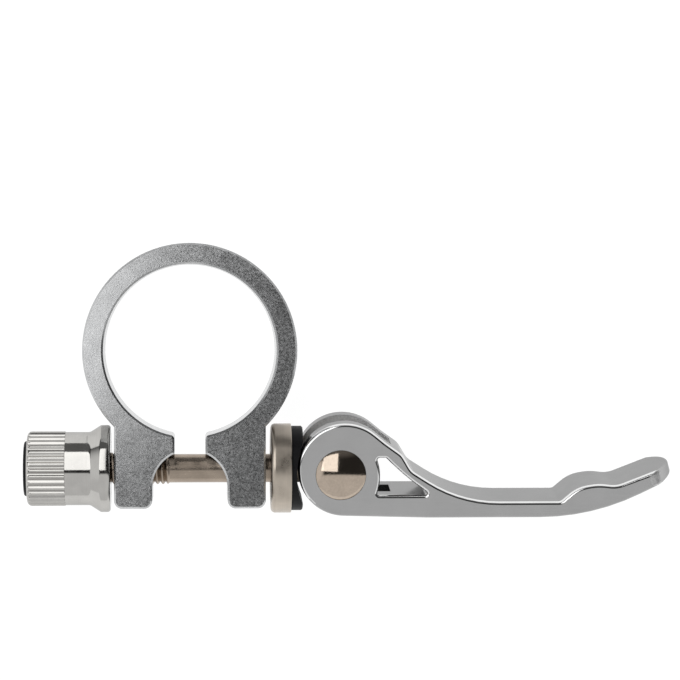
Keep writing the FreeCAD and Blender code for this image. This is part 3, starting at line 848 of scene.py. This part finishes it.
def satin_aluminium(finish):
    """Lever: tumbled satin with faint lines along the arm."""
    made = FinishTree("satin_aluminium", metallic=1.0)
    made.shader.inputs["Specular Tint"].default_value = (0.6, 0.6, 0.6, 1.0)
    line = made.effect("tool_lines", Along=120.0, Across=5000.0)
    patch = made.effect("soft_patches", Scale=180.0)
    mask = made.average(line.outputs["Line"], patch.outputs["Patch"])
    made.tint(mask, finish.lever, dark=0.9, light=1.1)
    made.roughen(mask, finish.lever_rough, below=0.05, above=0.06)
    made.bump(line.outputs["Line"], distance=0.004 * MM, strength=0.3)
    return made.material


def cast_aluminium(finish):
    """Slot of the lever and end of its tip: left as cast."""
    made = FinishTree("cast_aluminium", metallic=1.0)
    grain = made.effect("blasted_grain", Scale=3000.0)
    made.tint(grain.outputs["Fleck"], finish.cast, dark=0.85, light=1.15)
    made.roughen(grain.outputs["Fleck"], finish.cast_rough, below=0.08, above=0.08)
    made.bump(grain.outputs["Height"], distance=0.03 * MM, strength=0.5)
    return made.material


def rim_highlight(finish):
    """Rounded upper edges of the lever and of its window: polished, with a colour lighter than the satin that
    paints their highlight.
    """
    made = FinishTree("rim_highlight", metallic=1.0)
    patch = made.effect("soft_patches", Scale=260.0)
    made.tint(patch.outputs["Patch"], finish.rim, dark=0.94, light=1.06)
    made.roughen(patch.outputs["Patch"], finish.rim_rough, below=0.03, above=0.03)
    return made.material


def painted_slot_shade(finish):
    """Foot of the lever's slot: painted shade, a near-black colour where the slot lies in shadow."""
    made = FinishTree("painted_slot_shade", metallic=0.0)
    patch = made.effect("soft_patches", Scale=900.0)
    made.tint(patch.outputs["Patch"], finish.slot_shade, dark=0.6, light=1.4)
    made.roughen(patch.outputs["Patch"], finish.slot_shade_rough, below=0.1, above=0.1)
    made.bump(patch.outputs["Patch"], distance=0.05 * MM, strength=0.4)
    return made.material


def polished_metal(finish):
    """Thumb nut: bright polish with faint turning marks."""
    made = FinishTree("polished_metal", metallic=1.0)
    made.shader.inputs["Specular Tint"].default_value = (0.7, 0.7, 0.7, 1.0)
    line = made.effect("tool_lines", Along=7000.0, Across=40.0)
    patch = made.effect("soft_patches", Scale=420.0)
    mask = made.average(line.outputs["Line"], patch.outputs["Patch"])
    made.tint(mask, finish.nut, dark=0.9, light=1.1)
    made.roughen(mask, finish.nut_rough, below=0.04, above=0.05)
    made.bump(line.outputs["Line"], distance=0.004 * MM, strength=0.25)
    return made.material


def rolled_steel(finish):
    """Skewer: warm steel with drawing lines along the shank."""
    made = FinishTree("rolled_steel", metallic=1.0)
    line = made.effect("tool_lines", Along=90.0, Across=3500.0)
    patch = made.effect("soft_patches", Scale=350.0)
    mask = made.average(line.outputs["Line"], patch.outputs["Patch"])
    made.tint(mask, finish.skewer, dark=0.75, light=1.2)
    made.roughen(mask, finish.skewer_rough, below=0.06, above=0.08)
    made.bump(line.outputs["Line"], distance=0.006 * MM, strength=0.3)
    return made.material


def mottled_nickel(finish):
    """Cup washer: pale plating with soft patches and rolled lines."""
    made = FinishTree("mottled_nickel", metallic=1.0)
    line = made.effect("tool_lines", Along=6000.0, Across=80.0)
    patch = made.effect("soft_patches", Scale=380.0)
    mask = made.average(line.outputs["Line"], patch.outputs["Patch"])
    made.tint(mask, finish.washer, dark=0.8, light=1.18)
    made.roughen(patch.outputs["Patch"], finish.washer_rough, below=0.06, above=0.08)
    made.bump(line.outputs["Line"], distance=0.005 * MM, strength=0.3)
    return made.material


def polished_nickel(finish):
    """Barrel: warm polished plating."""
    made = FinishTree("polished_nickel", metallic=1.0)
    patch = made.effect("soft_patches", Scale=450.0)
    grain = made.effect("blasted_grain", Scale=2500.0)
    mask = made.average(patch.outputs["Patch"], grain.outputs["Fleck"])
    made.tint(mask, finish.barrel, dark=0.88, light=1.1)
    made.roughen(mask, finish.barrel_rough, below=0.04, above=0.06)
    made.bump(grain.outputs["Height"], distance=0.004 * MM, strength=0.2)
    return made.material


def black_plastic(finish, name, grain_scale):
    """Pad and nylon ring: black moulded plastic with a fine skin."""
    made = FinishTree(name, metallic=0.0)
    made.shader.inputs["Specular IOR Level"].default_value = 0.15
    grain = made.effect("blasted_grain", Scale=grain_scale)
    made.tint(grain.outputs["Fleck"], finish.plastic, dark=0.7, light=1.5)
    made.roughen(grain.outputs["Fleck"], finish.plastic_rough, below=0.06, above=0.1)
    made.bump(grain.outputs["Height"], distance=0.01 * MM, strength=0.3)
    return made.material


# Stage

def floor_material(stage):
    """Pale floor: lit, and mixed with plain white for the eye, for reflections and through clear pieces."""
    material = bpy.data.materials.new("pale_floor")
    material.use_nodes = True
    tree = material.node_tree
    shader = tree.nodes["Principled BSDF"]
    shader.inputs["Base Color"].default_value = (*stage.floor_colour, 1.0)
    shader.inputs["Roughness"].default_value = stage.floor_rough
    shader.inputs["Specular IOR Level"].default_value = 0.0
    glow = tree.nodes.new("ShaderNodeEmission")
    glow.inputs["Strength"].default_value = stage.floor_glow
    path = tree.nodes.new("ShaderNodeLightPath")
    seen = path.outputs["Is Camera Ray"]
    for ray in ("Is Glossy Ray", "Is Transmission Ray"):
        either = tree.nodes.new("ShaderNodeMath")
        either.operation = "MAXIMUM"
        tree.links.new(seen, either.inputs[0])
        tree.links.new(path.outputs[ray], either.inputs[1])
        seen = either.outputs["Value"]
    portion = tree.nodes.new("ShaderNodeMath")
    portion.operation = "MULTIPLY"
    portion.inputs[1].default_value = stage.floor_white
    mix = tree.nodes.new("ShaderNodeMixShader")
    tree.links.new(seen, portion.inputs[0])
    tree.links.new(portion.outputs["Value"], mix.inputs["Fac"])
    tree.links.new(shader.outputs["BSDF"], mix.inputs[1])
    tree.links.new(glow.outputs["Emission"], mix.inputs[2])
    tree.links.new(mix.outputs["Shader"], tree.nodes["Material Output"].inputs["Surface"])
    return material


def room_world(stage):
    """Dark room with a bright front, a bright wall past the nut and a dim back, all white to the eye."""
    world = bpy.data.worlds.new("studio_room")
    world.use_nodes = True
    tree = world.node_tree
    room = tree.nodes["Background"]
    room.inputs["Color"].default_value = WHITE
    white = tree.nodes.new("ShaderNodeBackground")
    white.inputs["Color"].default_value = WHITE
    place = tree.nodes.new("ShaderNodeTexCoord")
    parts = tree.nodes.new("ShaderNodeSeparateXYZ")
    path = tree.nodes.new("ShaderNodeLightPath")
    mix = tree.nodes.new("ShaderNodeMixShader")
    tree.links.new(place.outputs["Generated"], parts.inputs["Vector"])
    total = None
    for axis, start, end, setting in WALLS:
        wall = tree.nodes.new("ShaderNodeMapRange")
        wall.interpolation_type = "SMOOTHSTEP"
        wall.inputs["From Min"].default_value = start
        wall.inputs["From Max"].default_value = end
        wall.inputs["To Max"].default_value = getattr(stage, setting)
        tree.links.new(parts.outputs[axis], wall.inputs["Value"])
        brightest = tree.nodes.new("ShaderNodeMath")
        brightest.operation = "MAXIMUM"
        brightest.inputs[1].default_value = stage.room
        tree.links.new(wall.outputs["Result"], brightest.inputs[0])
        if total:
            tree.links.new(total, brightest.inputs[1])
        total = brightest.outputs["Value"]
    tree.links.new(total, room.inputs["Strength"])
    tree.links.new(path.outputs["Is Camera Ray"], mix.inputs["Fac"])
    tree.links.new(room.outputs["Background"], mix.inputs[1])
    tree.links.new(white.outputs["Background"], mix.inputs[2])
    tree.links.new(mix.outputs["Shader"], tree.nodes["World Output"].inputs["Surface"])
    return world


def facing(place, target):
    """Turn that looks from a place to a target with +Y at the top."""
    ahead = (Vector(target) - Vector(place)).normalized()
    right = ahead.cross(Vector((0, 1, 0))).normalized()
    top = right.cross(ahead)
    return Matrix((right, top, -ahead)).transposed().to_euler()


def softbox(name, place, size, brightness):
    """Rectangular lamp that looks straight down and whose face has the given brightness."""
    lamp = bpy.data.lights.new(name, "AREA")
    lamp.shape = "RECTANGLE"
    lamp.size, lamp.size_y = size
    lamp.energy = brightness * math.pi * size[0] * size[1]
    made = bpy.data.objects.new(name, lamp)
    made.location = place
    made.visible_camera = False
    bpy.context.scene.collection.objects.link(made)


class ClampOperator:
    """What the clamp's operators share."""
    bl_options = {"REGISTER", "UNDO"}

    @property
    def settings(self):
        return bpy.context.scene.seat_clamp


class CLAMP_OT_collar(ClampOperator, Operator):
    """Give the split collar its blasted aluminium"""
    bl_idname = "seat_clamp.collar"
    bl_label = "Collar"

    def execute(self, context):
        finish_node("collar", blasted_aluminium(self.settings.finish))
        return {"FINISHED"}


class CLAMP_OT_skewer(ClampOperator, Operator):
    """Model the skewer rod with its rolled threads"""
    bl_idname = "seat_clamp.skewer"
    bl_label = "Skewer Rod"

    def execute(self, context):
        mesh = rod_mesh(self.settings.skewer)
        steel = rolled_steel(self.settings.finish)
        weigh_normals(place_piece("threaded_skewer", mesh, "skewer_rod", steel))
        return {"FINISHED"}


class CLAMP_OT_nut(ClampOperator, Operator):
    """Model the knurled thumb nut"""
    bl_idname = "seat_clamp.nut"
    bl_label = "Thumb Nut"

    def execute(self, context):
        mesh = nut_mesh(self.settings.nut)
        polish = polished_metal(self.settings.finish)
        weigh_normals(place_piece("knurled_nut", mesh, "thumb_nut", polish))
        return {"FINISHED"}


class CLAMP_OT_lock_ring(ClampOperator, Operator):
    """Model the nylon ring in the nut's outer end"""
    bl_idname = "seat_clamp.lock_ring"
    bl_label = "Nylon Ring"

    def execute(self, context):
        mesh = lock_ring_mesh(self.settings.nut)
        nylon = black_plastic(self.settings.finish, "black_nylon", grain_scale=2200.0)
        weigh_normals(place_piece("nylon_ring", mesh, "nut_lock_ring", nylon))
        return {"FINISHED"}


class CLAMP_OT_washer(ClampOperator, Operator):
    """Model the cup washer"""
    bl_idname = "seat_clamp.washer"
    bl_label = "Cup Washer"

    def execute(self, context):
        mesh = washer_mesh(self.settings.washer)
        nickel = mottled_nickel(self.settings.finish)
        weigh_normals(place_piece("rounded_cup", mesh, "cup_washer", nickel))
        return {"FINISHED"}


class CLAMP_OT_pad(ClampOperator, Operator):
    """Give the cam's pad its black plastic"""
    bl_idname = "seat_clamp.pad"
    bl_label = "Cam Pad"

    def execute(self, context):
        finish_node("cam_pad", black_plastic(self.settings.finish, "black_pad", grain_scale=3000.0))
        return {"FINISHED"}


class CLAMP_OT_barrel(ClampOperator, Operator):
    """Give the barrel its polished nickel"""
    bl_idname = "seat_clamp.barrel"
    bl_label = "Barrel Pin"

    def execute(self, context):
        finish_node("barrel_pin", polished_nickel(self.settings.finish))
        return {"FINISHED"}


class CLAMP_OT_lever(ClampOperator, Operator):
    """Model the cam lever with rounded edges"""
    bl_idname = "seat_clamp.lever"
    bl_label = "Cam Lever"

    def execute(self, context):
        mesh = lever_mesh(self.settings.lever)
        finish = self.settings.finish
        place_piece("rounded_lever", mesh, "cam_lever", satin_aluminium(finish), cast_aluminium(finish),
                    rim_highlight(finish), painted_slot_shade(finish))
        return {"FINISHED"}


class CLAMP_OT_stage(ClampOperator, Operator):
    """Set the floor, the lights and the camera"""
    bl_idname = "seat_clamp.stage"
    bl_label = "Studio Stage"

    def execute(self, context):
        stage = self.settings.stage
        scene = context.scene
        scene.view_settings.view_transform = "Standard"
        scene.world = room_world(stage)

        bm = bmesh.new()
        bmesh.ops.create_grid(bm, x_segments=1, y_segments=1, size=stage.floor / 2,
                              matrix=Matrix.Translation((0, 0, CAD_BOX[0].z)))
        mesh = bpy.data.meshes.new("studio_floor")
        bm.to_mesh(mesh)
        bm.free()
        mesh.materials.append(floor_material(stage))
        floor = bpy.data.objects.new("studio_floor", mesh)
        scene.collection.objects.link(floor)

        softbox("key_softbox", stage.key_place, (stage.key_along, stage.key_across), stage.key)

        lens = bpy.data.cameras.new("photo_camera")
        lens.lens = stage.lens
        camera = bpy.data.objects.new("photo_camera", lens)
        camera.location = stage.camera
        camera.rotation_euler = facing(stage.camera, stage.aim)
        scene.collection.objects.link(camera)
        scene.camera = camera
        return {"FINISHED"}


class CLAMP_PT_sidebar(Panel):
    """Steps and sizes of the seatpost clamp"""
    bl_idname = "CLAMP_PT_sidebar"
    bl_label = "Seatpost Clamp"
    bl_space_type = "VIEW_3D"
    bl_region_type = "UI"
    bl_category = "Seat Clamp"

    def draw(self, context):
        settings = context.scene.seat_clamp
        for step in STEPS:
            self.layout.operator(step.bl_idname)
        for label in ("skewer", "nut", "washer", "lever", "finish", "stage"):
            group = getattr(settings, label)
            box = self.layout.box()
            box.label(text=label.title())
            for name in group.__annotations__:
                box.prop(group, name)


STEPS = (
    CLAMP_OT_collar,
    CLAMP_OT_skewer,
    CLAMP_OT_nut,
    CLAMP_OT_lock_ring,
    CLAMP_OT_washer,
    CLAMP_OT_pad,
    CLAMP_OT_barrel,
    CLAMP_OT_lever,
    CLAMP_OT_stage,
)
CLASSES = (
    SkewerSizes,
    NutSizes,
    WasherSizes,
    LeverSizes,
    Finishes,
    StageSizes,
    ClampSettings,
    *STEPS,
    CLAMP_PT_sidebar,
)


def register():
    for cls in CLASSES:
        bpy.utils.register_class(cls)
    bpy.types.Scene.seat_clamp = PointerProperty(type=ClampSettings)


def unregister():
    del bpy.types.Scene.seat_clamp
    for cls in reversed(CLASSES):
        bpy.utils.unregister_class(cls)


def main():
    """Build every piece and the stage."""
    register()
    bpy.ops.seat_clamp.collar()
    bpy.ops.seat_clamp.skewer()
    bpy.ops.seat_clamp.nut()
    bpy.ops.seat_clamp.lock_ring()
    bpy.ops.seat_clamp.washer()
    bpy.ops.seat_clamp.pad()
    bpy.ops.seat_clamp.barrel()
    bpy.ops.seat_clamp.lever()
    bpy.ops.seat_clamp.stage()


if __name__ == "__main__":
    main()
